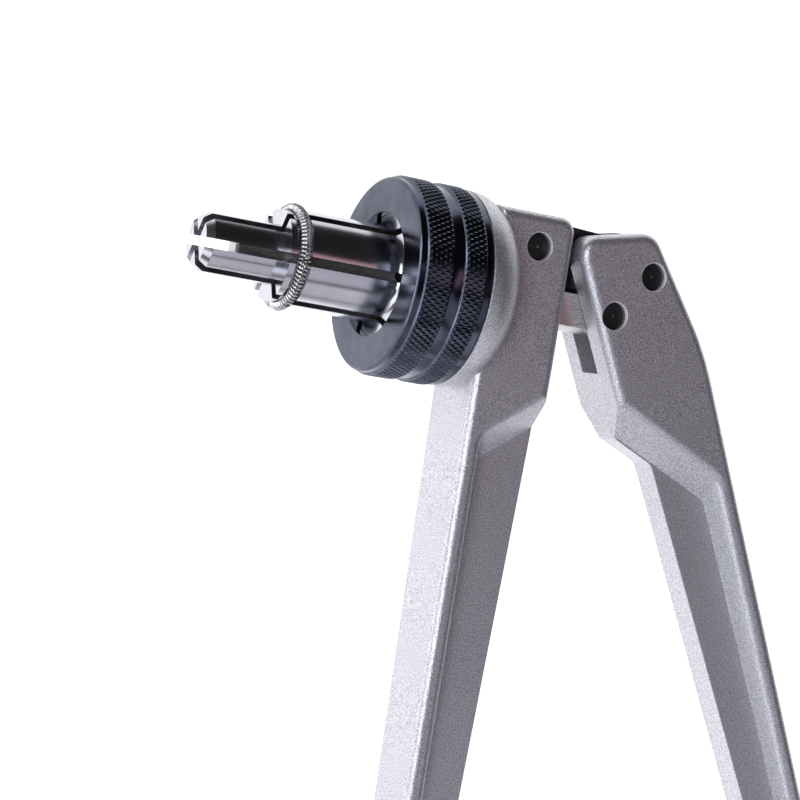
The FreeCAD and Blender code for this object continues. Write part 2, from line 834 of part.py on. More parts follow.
def rear_handle(document, size):
    """Rear casting: a clevis head on the ram and the link, and an arm like the front one's."""
    body = new_body(document, "rear_handle")
    top = size.rear_top
    tang_right = size.rear_tang_x + size.rear_tang_width
    front = -size.rear_front_edge
    plan = new_sketch(body, "XY_Plane")
    outline(plan, [
        (front, top, size.rear_nose_fillet),
        (front, -size.rear_throat_y, size.rear_throat_fillet),
        (size.rear_web_x, -size.rear_web_y, size.rear_web_fillet),
        (size.rear_tang_x, -size.thickness_taper_end, size.bend_radius),
        (size.rear_tang_x, -size.arm_length, size.arm_end_fillet),
        (tang_right, -size.arm_length, size.arm_end_fillet),
        (tang_right, -size.thickness_taper_end, size.bend_radius),
        (size.rear_wrist_x, -size.rear_wrist_y, size.bend_radius),
        (size.rear_shoulder_x, -size.rear_shoulder_y, size.rear_shoulder_fillet),
        (size.rear_top_back, top - size.rear_top_fall, size.rear_crown_fillet),
    ])
    extrude(body, "Pad", plan, 2 * (size.head_half_thickness + CUT_MARGIN))
    taper_sides(body, size)
    side_pocket(body, size, *rear_pocket(size))
    round_sides(body, size)
    clevis = new_sketch(body, "XY_Plane")
    outline(clevis, [
        (front - CUT_MARGIN, -size.rear_slot_floor),
        (size.rear_slot_corner, -size.rear_slot_floor),
        (size.rear_slot_exit_x, size.rear_slot_exit_y),
        (size.rear_slot_exit_x, top + CUT_MARGIN),
        (front - CUT_MARGIN, top + CUT_MARGIN),
    ])
    cut(body, extrude, "Pocket", clevis, size.tongue_thickness + 2 * size.slot_clearance)
    for x, y in ((as_size(0), as_size(0)), (size.link_pivot_along, size.link_pivot_up)):
        hole = new_sketch(body, "XY_Plane")
        circle(hole, x, y, size.pin_radius)
        cut(body, extrude, "Pocket", hole, 4 * size.head_half_thickness)
    body.Placement = rear_frame(size)
    return body


def rear_pocket(size):
    """Floor and rim outlines of the rear arm's side pocket, open at the front edge."""
    outside = -size.rear_front_edge - CUT_MARGIN
    slope = size.rear_pocket_slope
    foot = -size.rear_pocket_foot
    wall = size.rear_wall_x
    wall_low = wall - size.rear_wall_drift
    rim = wall + size.pocket_wall_run
    rim_low = wall_low + size.pocket_wall_run
    rim_foot = foot + size.rear_ramp_rise
    rim_end = -size.pocket_end - size.pocket_end_run
    floor_outline = [
        (outside, foot - slope * outside),
        (wall, foot - slope * wall, size.pocket_floor_fillet),
        (wall_low, -size.pocket_end, size.pocket_floor_fillet),
        (outside, -size.pocket_end),
    ]
    rim_outline = [
        (outside, rim_foot - slope * outside),
        (rim, rim_foot - slope * rim, size.pocket_rim_fillet),
        (rim_low, rim_end, size.pocket_rim_fillet),
        (outside, rim_end),
    ]
    return floor_outline, rim_outline


def grip(document, size, name, tang_left, tang_width, placement):
    """Rubber grip: an oval sleeve with a flange, closed at its end, on the arm's tang."""
    body = new_body(document, name)
    middle = tang_left + tang_width / 2
    length = size.arm_length - size.grip_start + size.grip_end_wall

    def oval(height, width, depth):
        sketch = new_sketch(body, "XZ_Plane", height)
        half_width = width / 2
        half_depth = depth / 2
        outline(sketch, [
            (middle - half_width, -half_depth, size.grip_corner),
            (middle + half_width, -half_depth, size.grip_corner),
            (middle + half_width, half_depth, size.grip_corner),
            (middle - half_width, half_depth, size.grip_corner),
        ])
        return sketch

    sleeve = oval(size.grip_start, size.grip_width, size.grip_height)
    extrude(body, "Pad", sleeve, length, symmetric=False)
    end_level = -(size.grip_start + length).value
    fillet(body, size.grip_end_fillet, lambda edge: abs(edge.BoundBox.YMax - end_level) < LEVEL)
    flange = oval(size.grip_start, size.grip_flange_width, size.grip_flange_height)
    extrude(body, "Pad", flange, size.grip_flange_length, symmetric=False)
    reach = size.grip_width.value / 2 + BOX_SLACK
    depth_reach = size.grip_height.value / 2 + BOX_SLACK
    flange_end = -(size.grip_start + size.grip_flange_length).value - BOX_SLACK

    def flange_rim(edge):
        box = edge.BoundBox
        level = box.YMax - box.YMin < LEVEL and box.YMax > flange_end
        wide = max(box.XMax - middle.value, middle.value - box.XMin) > reach
        deep = max(box.ZMax, -box.ZMin) > depth_reach
        return level and (wide or deep)

    fillet(body, size.grip_flange_fillet, flange_rim)
    half = size.arm_half_thickness
    socket = new_sketch(body, "XZ_Plane", size.grip_start)
    outline(socket, [
        (tang_left, -half, size.edge_fillet),
        (tang_left + tang_width, -half, size.edge_fillet),
        (tang_left + tang_width, half, size.edge_fillet),
        (tang_left, half, size.edge_fillet),
    ])
    pocket = extrude(body, "Pocket", socket, size.arm_length - size.grip_start, symmetric=False)
    pocket.Reversed = True
    document.recompute()
    body.Placement = placement
    return body


def build(document):
    size = Dimensions(document)
    at = stations(size)
    front, _, rear = pivots(size)
    pieces = [
        front_handle(document, size),
        thread_sleeve(document, size),
        guide_bush(document, size),
        collar(document, size),
        jaw_retainer(document, size),
        garter_spring(document, size),
        cone(document, size),
        ram(document, size),
        cone_pin(document, size),
        link(document, size),
        pivot_pin(document, size, "link_front_pin", front),
        pivot_pin(document, size, "link_rear_pin", rear),
        pivot_pin(document, size, "ram_pin", (at["ram_pivot"], as_size(0))),
        rear_handle(document, size),
        grip(document, size, "front_grip", at["seat"] + size.front_tang_inset,
             size.front_tang_width, FreeCAD.Placement()),
        grip(document, size, "rear_grip", size.rear_tang_x, size.rear_tang_width,
             rear_frame(size)),
    ]
    for number in range(1, int(size.jaw_count.value) + 1):
        pieces.append(jaw(document, size, number))
    return pieces


def check(document, pieces):
    """Stop if any feature failed or any piece isn't one whole solid."""
    document.recompute()
    for item in document.Objects:
        if "Invalid" in item.State or "Error" in item.State:
            raise RuntimeError(f"{item.Name} failed: {item.State}")
    for piece in pieces:
        if piece.Shape.isNull() or not piece.Shape.isValid():
            raise RuntimeError(f"{piece.Label} has no valid shape")
        if len(piece.Shape.Solids) != 1:
            raise RuntimeError(f"{piece.Label} has {len(piece.Shape.Solids)} solids")


def main():
    document = FreeCAD.newDocument("pex_expander")
    pieces = build(document)
    check(document, pieces)
    os.makedirs("parts", exist_ok=True)
    for piece in pieces:
        piece.Shape.exportStep(f"parts/{piece.Label}.step")
        box = piece.Shape.BoundBox
        print(f"{piece.Label}: {piece.Shape.Volume:.0f} mm3, "
              f"X {box.XMin:.1f} {box.XMax:.1f}, Y {box.YMin:.1f} {box.YMax:.1f}, "
              f"Z {box.ZMin:.1f} {box.ZMax:.1f}")


main()
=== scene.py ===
import math

import bpy
import numpy as np
from mathutils import Matrix, Vector


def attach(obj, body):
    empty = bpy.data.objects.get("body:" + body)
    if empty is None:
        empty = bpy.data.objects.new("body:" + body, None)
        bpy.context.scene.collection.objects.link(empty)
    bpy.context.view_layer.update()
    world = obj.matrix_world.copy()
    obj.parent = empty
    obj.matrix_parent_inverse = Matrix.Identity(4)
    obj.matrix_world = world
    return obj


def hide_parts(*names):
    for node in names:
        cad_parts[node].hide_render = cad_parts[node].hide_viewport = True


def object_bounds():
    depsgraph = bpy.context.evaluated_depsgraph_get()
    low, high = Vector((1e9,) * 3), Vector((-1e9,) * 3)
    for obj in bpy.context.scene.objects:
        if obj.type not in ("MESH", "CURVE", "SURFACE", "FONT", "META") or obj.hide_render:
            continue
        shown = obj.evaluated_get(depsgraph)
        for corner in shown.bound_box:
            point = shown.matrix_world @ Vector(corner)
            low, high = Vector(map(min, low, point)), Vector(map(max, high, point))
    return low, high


# Looks of the expansion tool. Lengths are millimetres in the CAD frame, and in the studio section
# metres. A station is a place along a piece: along X on the head, and down the arm on a grip.

MM = 0.001
TURN = 2 * math.pi

# Screw collar, its stations counted from its front face

HEAD_FACE = 22.2                # front face, from the shoulder on the jaws
COLLAR_HOLE = 12.4
COLLAR_LIP = 1.8
COLLAR_WIDTH = 16.2
COLLAR_RADIUS = 20.0
THREAD_BORE = 16.05
LIP_RADIUS = 19.35
GROOVE_RADIUS = 19.35
TAIL_RADIUS = 19.6
FACE_BEVEL = (0.32, 0.45)       # along, and in from the lip
TAIL_BEVEL = 0.35
HOLE_BEVEL = 0.1
BAND_BEVELS = ((0.272, 0.4), (0.408, 0.6), (0.68, 1.0))     # shares of a band's height
FIRST_BAND_END = 0.6            # rear bevel's length, as a share of the band's height
SECOND_BAND_END = 0.3           # rear bevel's length
SHARP, FINE, SOFT, ROUND = 0.05, 0.06, 0.1, 0.15            # roundings of the turned edges

# Knurls

KNURL_BANDS = ((1.5, 7.4), (9.7, 14.5))
KNURLS_AROUND = 108
KNURLS_ALONG = 0.49             # per millimetre
KNURL_DEPTH = 0.28
KNURL_STEPS = 6                 # grid steps for each knurl, both ways
KNURL_FLAT = 0.94               # share of the wave at which the tips are cut flat
KNURL_SHY = 0.02                # how far the tips stay inside the collar's radius
KNURL_RUN_OUT = 0.1             # plain width left at both ends of a band
STATION_GAP = 0.05              # least gap between a knurl station and an end of its band

# Garter spring

SPRING_STATION = 2.8
SPRING_RING = 9.46
SPRING_COIL = 1.2
SPRING_WIRE = 0.23
SPRING_TURNS = 78
SPRING_END = 0.01               # share of an arc left free at each end
WIRE_STEPS = 12                 # rings for each turn of wire
WIRE_SIDES = 6
JAW_COUNT = 6
FIRST_JAW_ANGLE = 93.0

# Grips. Rows are (station, half width, half depth, corner radius), a sleeve is the last three.

GRIP_START = 215.0
GRIP_LENGTH = 150.0
GRIP_POINTS = 72
ARC_ROWS = 5
SOCKET_DEPTH, SOCKET_CORNER = 7.3, 2.0
SOCKET_FLOOR = 7.0              # rubber below the foot of the socket
MOUTH_BEVEL = (0.2, 0.3)        # along, and out
MOUTH_CORNER = 1.4
FLANGE_FACE = (0.0, 11.6, 13.8, 8.8)
FLANGE_FRONT = (1.5, 11.8, 14.0, 9.0)
FLANGE_FRONT_ROUND = 1.5
FLANGE_BACK = (3.6, 11.9, 14.1, 10.0)
FLANGE_BACK_ROUND = (1.4, 1.4, 1.4, 0.5)
SLEEVE = (11.5, 13.5, 10.4)
SLEEVE_START = 7.0
RIBS_START = 14.0
RIBS_END = 125.0                # no groove from here on
RIBS_STOP = 126.0               # end of the evenly spaced rows
RIB_PITCH = 6.0
RIB_STEP = 0.5                  # between rows
GROOVE_DEPTH = 0.7
GROOVE_SHOULDER = 0.45          # share of the wave that stays on the rib
DOME = 6.0
DOME_ROWS = 9

# Arms, pins and pivots, in the plane of the handles

GRIP_MIDDLE_FRONT = 50.45       # from the pivot to the middle line of the arm
GRIP_MIDDLE_REAR = 10.95
TANG_WIDTH_FRONT = 13.1
TANG_WIDTH_REAR = 11.9
REAR_PIVOT = (72.2, 0.0)
REAR_OPENING = 26.5
PIN_AXES = ((52.7, 10.8), REAR_PIVOT, (79.68, 9.2))
PIN_BORE = 2.95                 # radius
PIN_BORE_FOOT = 8.3             # height over the middle plane where the bare bores start


# Meshes


def grid_faces(rows, columns, wrap_rows):
    """Quads between neighbouring points of a grid kept row by row, its columns closed to a ring."""
    last = rows if wrap_rows else rows - 1
    row = np.arange(last)[:, None]
    column = np.arange(columns)[None, :]
    here = row * columns + column
    beside = row * columns + (column + 1) % columns
    above = ((row + 1) % rows) * columns + column
    corner = ((row + 1) % rows) * columns + (column + 1) % columns
    return np.stack([here, beside, corner, above], axis=-1).reshape(-1, 4)


def enclosed_volume(points, quads):
    """Volume inside closed quads: the sum of the cones from the origin to each triangle."""
    corners = points[quads]
    total = 0.0
    for second, third in ((1, 2), (2, 3)):
        cross = np.cross(corners[:, second], corners[:, third])
        total += np.einsum("ij,ij->", corners[:, 0], cross)
    return total / 6


def add_object(name, points, faces):
    """Links a new mesh of points in metres."""
    mesh = bpy.data.meshes.new(name)
    mesh.from_pydata(points, [], faces)
    added = bpy.data.objects.new(name, mesh)
    bpy.context.scene.collection.objects.link(added)
    return added


def skin(name, sections, wrap_rows=False, crease_degrees=30):
    """A closed surface over rows of ring points, capped flat unless the rows close too.

    It is smooth but for edges sharper than the crease angle.
    """
    rows, columns, _ = sections.shape
    points = sections.reshape(-1, 3)
    quads = grid_faces(rows, columns, wrap_rows)
    caps = np.array([np.arange(columns)[::-1], np.arange(columns) + (rows - 1) * columns])
    if enclosed_volume(points - points.mean(axis=0), quads) < 0:
        quads = quads[:, ::-1]
        caps = caps[:, ::-1]
    faces = quads.tolist() if wrap_rows else quads.tolist() + caps.tolist()
    piece = add_object(name, points * MM, faces)
    piece.data.shade_smooth()
    piece.data.set_sharp_from_angle(angle=math.radians(crease_degrees))
    return piece


def rounded(corners, steps=4):
    """A profile whose corners (x, y, radius) become arcs.

    An arc is the quadratic curve from one tangent point to the other, pulled to the corner.
    """
    points = []
    count = len(corners)
    for index, (x, y, radius) in enumerate(corners):
        here = np.array([x, y])
        if radius == 0:
            points.append(here[None])
            continue
        before = np.array(corners[index - 1][:2])
        after = np.array(corners[(index + 1) % count][:2])
        back = (before - here) / np.linalg.norm(before - here)
        onward = (after - here) / np.linalg.norm(after - here)
        share = np.linspace(0, 1, steps)[:, None]
        start = here + back * radius
        end = here + onward * radius
        pull = 2 * share * (1 - share) * here
        points.append((1 - share) ** 2 * start + pull + share ** 2 * end)
    return np.vstack(points)


def turned(stations, radii, angles):
    """Surface of revolution about X: (x, r sin a, r cos a) for each station and angle."""
    rows = np.broadcast_to(np.asarray(stations)[:, None], radii.shape)
    return np.stack([rows, radii * np.sin(angles), radii * np.cos(angles)], axis=-1)


def quarter_turn(steps):
    """Sines and cosines of evenly spaced angles over a quarter turn."""
    lean = np.linspace(0, 1, steps) * math.pi / 2
    return np.sin(lean), np.cos(lean)


# Screw collar


def band_front(start):
    """Corners of a knurled band's front bevel, each a share of the band's height along and out."""
    height = COLLAR_RADIUS - GROOVE_RADIUS
    return [(start + height * along, GROOVE_RADIUS + height * out, 0) for along, out in BAND_BEVELS]


def collar_profile():
    """The collar's outline as a closed loop of (station, radius), without its knurls.

    It runs up the front face, back over the bands and the tail, and forward through the bore.
    """
    (start_one, end_one), (start_two, end_two) = KNURL_BANDS
    rear_bevel = FIRST_BAND_END * (COLLAR_RADIUS - GROOVE_RADIUS)
    return rounded([
        (0.0, COLLAR_HOLE + HOLE_BEVEL, SHARP),
        (0.0, LIP_RADIUS - FACE_BEVEL[1], FINE),
        (FACE_BEVEL[0], LIP_RADIUS, FINE),
        (start_one, LIP_RADIUS, FINE),
        *band_front(start_one),
        (end_one - rear_bevel, COLLAR_RADIUS, 0),
        (end_one, GROOVE_RADIUS, SOFT),
        (start_two, GROOVE_RADIUS, SOFT),
        *band_front(start_two),
        (end_two - SECOND_BAND_END, COLLAR_RADIUS, 0),
        (end_two, TAIL_RADIUS, FINE),
        (COLLAR_WIDTH - TAIL_BEVEL, TAIL_RADIUS, ROUND),
        (COLLAR_WIDTH, TAIL_RADIUS - TAIL_BEVEL, SOFT),
        (COLLAR_WIDTH, THREAD_BORE, SOFT),
        (COLLAR_LIP, THREAD_BORE, 0),
        (COLLAR_LIP, COLLAR_HOLE, SOFT),
        (HOLE_BEVEL, COLLAR_HOLE, SHARP),
    ])


def with_knurl_stations(profile):
    """The profile with evenly spaced stations added along both knurled bands."""
    spacing = 1 / (KNURLS_ALONG * KNURL_STEPS)
    loop = [profile[0]]
    for before, after in zip(profile, profile[1:]):
        flat = before[1] == after[1] == COLLAR_RADIUS
        if flat and after[0] > before[0]:
            first = math.ceil((before[0] + STATION_GAP) / spacing) * spacing
            stations = np.arange(first, after[0] - STATION_GAP, spacing)
            loop += [np.array([station, COLLAR_RADIUS]) for station in stations]
        loop.append(after)
    return np.array(loop)


def knurl_height(stations, angles):
    """Diamond knurl from 0 in the cuts to 1 on the tips.

    Two sets of slanting cuts cross. Each is a triangle wave, and the lower of the two is the
    surface, with its tips cut flat.
    """
    around = KNURLS_AROUND * angles / TURN
    along = KNURLS_ALONG * stations
    leans = (around + along, around - along)
    waves = [1 - 2 * np.abs(lean - np.floor(lean) - 0.5) for lean in leans]
    return np.minimum(np.minimum(*waves) / KNURL_FLAT, 1.0)


def knurled_collar():
    """Screw collar: the profile turned round X, cut down by the knurl's depth inside both bands.

    There its radius is the tip radius less knurl depth * (1 - knurl height), and never more than
    the profile's own.
    """
    loop = with_knurl_stations(collar_profile())
    angles = np.arange(KNURLS_AROUND * KNURL_STEPS) * TURN / (KNURLS_AROUND * KNURL_STEPS)
    stations = loop[:, 0][:, None]
    plain = np.broadcast_to(loop[:, 1][:, None], (len(loop), len(angles)))
    height = knurl_height(stations, angles[None, :])
    knurled = COLLAR_RADIUS - KNURL_SHY - KNURL_DEPTH * (1 - height)
    in_band = np.any([(stations > start + KNURL_RUN_OUT) & (stations < end - KNURL_RUN_OUT)
                      for start, end in KNURL_BANDS], axis=0)
    outside = plain > (THREAD_BORE + TAIL_RADIUS) / 2
    radii = np.where(in_band & outside, np.minimum(plain, knurled), plain)
    sections = turned(HEAD_FACE + loop[:, 0], radii, angles[None, :])
    piece = skin("knurled_collar", sections, wrap_rows=True, crease_degrees=24)
    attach(piece, "front_frame")
    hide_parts("collar")
    return piece


# Garter spring


def spring_arc(index):
    """One sixth of the garter spring: a wire coiled round an arc of the ring.

    The middle of the wire is at ring radius + coil radius * cos(coil angle) out from the axis, and
    coil radius * sin(coil angle) along it. A six-sided section stands square to the wire.
    """
    turns = SPRING_TURNS / JAW_COUNT
    along = np.linspace(SPRING_END, 1 - SPRING_END, round(turns * WIRE_STEPS))
    first = math.radians(FIRST_JAW_ANGLE) + TURN * (index - 1) / JAW_COUNT
    ring = first + TURN * along / JAW_COUNT
    coil = TURN * turns * (index + along)
    outward = np.stack([np.zeros_like(ring), np.cos(ring), np.sin(ring)], axis=-1)
    axis = np.array([1.0, 0.0, 0.0])
    lift = np.cos(coil)[:, None] * outward + np.sin(coil)[:, None] * axis
    reach = SPRING_COIL - SPRING_WIRE
    middle = SPRING_RING * outward + reach * lift + SPRING_STATION * axis
    tangent = np.gradient(middle, axis=0)
    tangent /= np.linalg.norm(tangent, axis=1)[:, None]
    sideways = np.cross(tangent, lift)
    section = (TURN * np.arange(WIRE_SIDES) / WIRE_SIDES)[None, :, None]
    rim = np.cos(section) * lift[:, None] + np.sin(section) * sideways[:, None]
    piece = skin(f"garter_coil_{index}", middle[:, None] + SPRING_WIRE * rim, crease_degrees=80)
    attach(piece, f"jaw_body_{index}")
    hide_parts("garter_spring")
    return piece


# Grips


def rounded_oblong(half_width, half_depth, corner, angles):
    """Ring of an oblong with round corners: a corner's middle plus its radius along the angle."""
    across = np.sign(np.cos(angles)) * (half_width - corner) + corner * np.cos(angles)
    deep = np.sign(np.sin(angles)) * (half_depth - corner) + corner * np.sin(angles)
    return across, deep


def sleeve_rows(stations, insets):
    """Rows of the plain sleeve, each drawn in by its inset."""
    return np.column_stack([stations, np.array(SLEEVE) - insets[:, None]])


def ribbed_rows():
    """Rows along the ribs, with a groove between each two.

    The inset is the groove's depth times how far a triangle wave rises past the shoulder.
    """
    stations = np.arange(RIBS_START, RIBS_STOP, RIB_STEP)
    wave = np.abs(((stations - RIBS_START) / RIB_PITCH) % 1 - 0.5) * 2
    groove = np.maximum(0.0, wave - GROOVE_SHOULDER) / (1 - GROOVE_SHOULDER)
    return sleeve_rows(stations, GROOVE_DEPTH * groove * (stations < RIBS_END))


def grip_rows(tang_width):
    """All rows of a grip, from the foot of the tang's socket up to its mouth, then down outside.

    Outside come the flange's face and its two quarter-round edges, the ribs, and a dome that draws
    in by its radius * (1 - cos) as it runs out by its radius * sin.
    """
    socket = (tang_width / 2, SOCKET_DEPTH, SOCKET_CORNER)
    bevel_along, bevel_out = MOUTH_BEVEL
    rise, fall = quarter_turn(ARC_ROWS)
    front = FLANGE_FRONT_ROUND * np.column_stack([-fall, rise, rise, rise])
    back = np.array(FLANGE_BACK_ROUND) * np.column_stack([rise, fall, fall, fall])
    dome_rise, dome_fall = quarter_turn(DOME_ROWS)
    return np.vstack([
        (GRIP_LENGTH - SOCKET_FLOOR, *socket),
        (bevel_along, *socket),
        (0.0, socket[0] + bevel_out, socket[1] + bevel_out, MOUTH_CORNER),
        FLANGE_FACE,
        np.array(FLANGE_FRONT) + front,
        np.array(FLANGE_BACK) + back,
        (SLEEVE_START, *SLEEVE),
        ribbed_rows(),
        sleeve_rows(GRIP_LENGTH - DOME + DOME * dome_rise, DOME * (1 - dome_fall)),
    ])


def ribbed_grip(name, node, body, middle, tang_width, angle_degrees, pivot):
    """Rubber grip: a rounded oblong ring for each row, round the middle line of the arm.

    The rings lie at the row's station down -Y. Then they are turned about Z and moved to the pivot.
    """
    angles = (np.arange(GRIP_POINTS) + 0.5) * TURN / GRIP_POINTS
    stations, *oblong = grip_rows(tang_width).T[:, :, None]
    across, deep = rounded_oblong(*oblong, angles)
    down = np.broadcast_to(-GRIP_START - stations, across.shape)
    lean = math.radians(angle_degrees)
    cos, sin = math.cos(lean), math.sin(lean)
    spin = np.array([[cos, -sin, 0], [sin, cos, 0], [0, 0, 1]])
    sections = np.stack([middle + across, down, deep], axis=-1) @ spin.T + np.array([*pivot, 0.0])
    piece = skin(name, sections, crease_degrees=40)
    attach(piece, body)
    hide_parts(node)
    return piece


# Finishes


class Value:
    """A number that varies over a surface, with the usual arithmetic."""

    def __init__(self, shading, socket):
        self.shading = shading
        self.socket = socket

    def math(self, operation, *values):
        sockets = dict(enumerate(values))
        return self.shading.node("ShaderNodeMath", {"operation": operation}, sockets)

    def __add__(self, other):
        return self.math("ADD", self, other)

    def __sub__(self, other):
        return self.math("SUBTRACT", self, other)

    def __rsub__(self, other):
        return self.math("SUBTRACT", other, self)

    def __mul__(self, other):
        return self.math("MULTIPLY", self, other)

    __radd__ = __add__
    __rmul__ = __mul__


class Shading:
    """A node tree with one main shader: constants go on its own sockets, other nodes feed it."""

    def __init__(self, tree, shader, **constants):
        self.tree = tree
        self.shader = tree.nodes[shader]
        for socket, value in constants.items():
            self.shader.inputs[socket.replace("_", " ")].default_value = value

    def node(self, kind, settings=None, sockets=None, output=0):
        """Adds a node of a kind: its settings first, then values or links on its sockets."""
        node = self.tree.nodes.new(kind)
        for setting, value in (settings or {}).items():
            setattr(node, setting, value)
        for socket, value in (sockets or {}).items():
            if isinstance(value, Value):
                self.tree.links.new(value.socket, node.inputs[socket])
            else:
                node.inputs[socket].default_value = value
        return Value(self, node.outputs[output])

    def feed(self, **inputs):
        """Links values to the shader's own sockets."""
        for socket, value in inputs.items():
            self.tree.links.new(value.socket, self.shader.inputs[socket.replace("_", " ")])


class Finish(Shading):
    """A material with a Principled shader, and the patterns that the finishes share."""

    def __init__(self, name, **constants):
        self.material = bpy.data.materials.new(name)
        self.material.use_nodes = True
        super().__init__(self.material.node_tree, "Principled BSDF", **constants)

    def place(self, stretch=None):
        """Object coordinates, stretched for grain that runs one way."""
        coordinates = self.node("ShaderNodeTexCoord", output="Object")
        if stretch is None:
            return coordinates
        return self.node("ShaderNodeMapping", sockets={"Vector": coordinates, "Scale": stretch})

    def noise(self, place, scale, detail=2.0, roughness=0.5):
        """Grey noise between 0 and 1 with blobs of about 1 / scale metres."""
        sockets = {"Vector": place, "Scale": scale, "Detail": detail, "Roughness": roughness}
        return self.node("ShaderNodeTexNoise", sockets=sockets)

    def between(self, value, low, high):
        """0 below low, 1 above high, and even between them."""
        sockets = {"Value": value, "From Min": low, "From Max": high}
        return self.node("ShaderNodeMapRange", {"clamp": True}, sockets)

    def bores(self, place, axes, radius, foot):
        """1 inside bores along Z that start at a height on both sides, and 0 elsewhere.

        A point is inside where its squared distance from an axis is less than the squared radius.
        """
        x, y, z = [self.node("ShaderNodeSeparateXYZ", sockets={"Vector": place}, output=axis)
                   for axis in "XYZ"]
        inside = 0
        for middle_x, middle_y in axes:
            across = x - middle_x * MM
            along = y - middle_y * MM
            squared = across * across + along * along
            inside = inside + squared.math("LESS_THAN", squared, (radius * MM) ** 2)
        return inside * z.math("GREATER_THAN", z.math("ABSOLUTE", z), foot * MM)

    def mix(self, share, first, second):
        """Colour between two others, through the colour sockets of a Mix node."""
        sockets = {0: share, 6: first, 7: second}
        return self.node("ShaderNodeMix", {"data_type": "RGBA"}, sockets, output=2)

    def bump(self, height, depth, strength=1.0, normal=None):
        """Normals of a height field whose full range is a depth."""
        sockets = {"Height": height, "Distance": depth * MM, "Strength": strength}
        if normal:
            sockets["Normal"] = normal
        return self.node("ShaderNodeBump", sockets=sockets)


def grey(level, tint=(1.0, 1.0, 1.0)):
    """Colour of a grey level, each channel times its tint."""
    return (level * tint[0], level * tint[1], level * tint[2], 1.0)


# Tints, and the two colours of the bronze

COOL = (0.97, 0.975, 1.035)
BLUE_BLACK = (0.84, 0.94, 1.34)
PALER_BLUE_BLACK = (0.86, 0.95, 1.3)
OILED = (1.03, 0.99, 0.97)
FAINT_BLUE = (1.0, 1.0, 1.1)
DARK_BRONZE = (0.20, 0.115, 0.05, 1)
PALE_BRONZE = (0.50, 0.31, 0.14, 1)


def cast_paint():
    """Silver baked paint with metal flake, over the pebbled skin of a casting; pin bores are bare.

    Where two faces meet, the paint is drawn over the edge in a small radius.
    """
    finish = Finish("silver_cast_paint", Specular_IOR_Level=0.5)
    place = finish.place()
    flake = finish.noise(place, 4600, 2.0, 0.7)
    grain = finish.noise(place, 2900, 2.0, 0.6)
    cloud = finish.noise(place, 45, 2.0)
    bare = finish.bores(place, PIN_AXES, PIN_BORE, PIN_BORE_FOOT)
    sparkle = finish.between(flake, 0.38, 0.6)
    tone = finish.mix(sparkle, grey(0.24, COOL), grey(0.9, COOL))
    soft = finish.mix(finish.between(cloud, 0.3, 0.7), grey(0.6, COOL), grey(0.67, COOL))
    paint = finish.mix(0.22, tone, soft)
    colour = finish.mix(bare, paint, grey(0.95))
    roughness = 0.25 + 0.2 * grain + 0.06 * cloud
    height = grain + 0.45 * flake
    drawn_edges = finish.node("ShaderNodeBevel", {"samples": 6}, {"Radius": 0.3 * MM})
    normal = finish.bump(height, 0.06, 1.0, drawn_edges)
    metallic = 0.75 - 0.6 * bare
    finish.feed(Base_Color=colour, Roughness=roughness, Metallic=metallic, Normal=normal)
    return finish.material


def black_anodised():
    """Blue-black anodised aluminium with the faint rings of the lathe and a slight mottle."""
    finish = Finish("black_anodised", Metallic=1.0)
    place = finish.place()
    rings = finish.noise(finish.place((9.0, 0.4, 0.4)), 900, 2.0)
    mottle = finish.noise(place, 260, 3.0, 0.6)
    shade = finish.between(mottle, 0.35, 0.7)
    colour = finish.mix(shade, grey(0.07, BLUE_BLACK), grey(0.105, PALER_BLUE_BLACK))
    roughness = 0.12 + 0.08 * rings + 0.05 * mottle
    finish.feed(Base_Color=colour, Roughness=roughness, Normal=finish.bump(rings, 0.004, 0.5))
    return finish.material


def chrome():
    """Hard chrome over turned steel, with fine turning lines and a trace of haze."""
    finish = Finish("chromed_steel", Metallic=1.0)
    lines = finish.noise(finish.place((14.0, 0.35, 0.35)), 700, 3.0, 0.6)
    haze = finish.noise(finish.place(), 120, 3.0)
    colour = finish.mix(finish.between(haze, 0.3, 0.75), grey(0.52, COOL), grey(0.62, COOL))
    roughness = 0.13 + 0.07 * lines + 0.05 * haze
    finish.feed(Base_Color=colour, Roughness=roughness, Normal=finish.bump(lines, 0.003, 0.5))
    return finish.material


def spring_wire():
    """Bright drawn spring wire, a little darker where oil sits."""
    finish = Finish("spring_wire", Metallic=1.0)
    oil = finish.noise(finish.place(), 420, 3.0, 0.6)
    colour = finish.mix(finish.between(oil, 0.35, 0.65), grey(0.42), grey(0.8))
    roughness = 0.1 + 0.14 * oil
    finish.feed(Base_Color=colour, Roughness=roughness, Normal=finish.bump(oil, 0.004, 0.4))
    return finish.material


def ground_steel():
    """Steel ground along its length, with long fine scratches and a warm cast of oil."""
    finish = Finish("ground_steel", Metallic=1.0)
    scratches = finish.noise(finish.place((0.25, 6.0, 6.0)), 900, 4.0, 0.65)
    stain = finish.noise(finish.place(), 90, 3.0)
    colour = finish.mix(finish.between(stain, 0.35, 0.7), grey(0.44, OILED), grey(0.62))
    roughness = 0.2 + 0.16 * scratches
    finish.feed(Base_Color=colour, Roughness=roughness, Normal=finish.bump(scratches, 0.004, 0.5))
    return finish.material


def bearing_bronze():
    """Sintered bronze with open pores."""
    finish = Finish("bearing_bronze", Metallic=1.0)
    pores = finish.noise(finish.place(), 1500, 3.0, 0.7)
    colour = finish.mix(finish.between(pores, 0.35, 0.6), DARK_BRONZE, PALE_BRONZE)
    roughness = 0.3 + 0.25 * pores
    finish.feed(Base_Color=colour, Roughness=roughness, Normal=finish.bump(pores, 0.02, 0.6))
    return finish.material


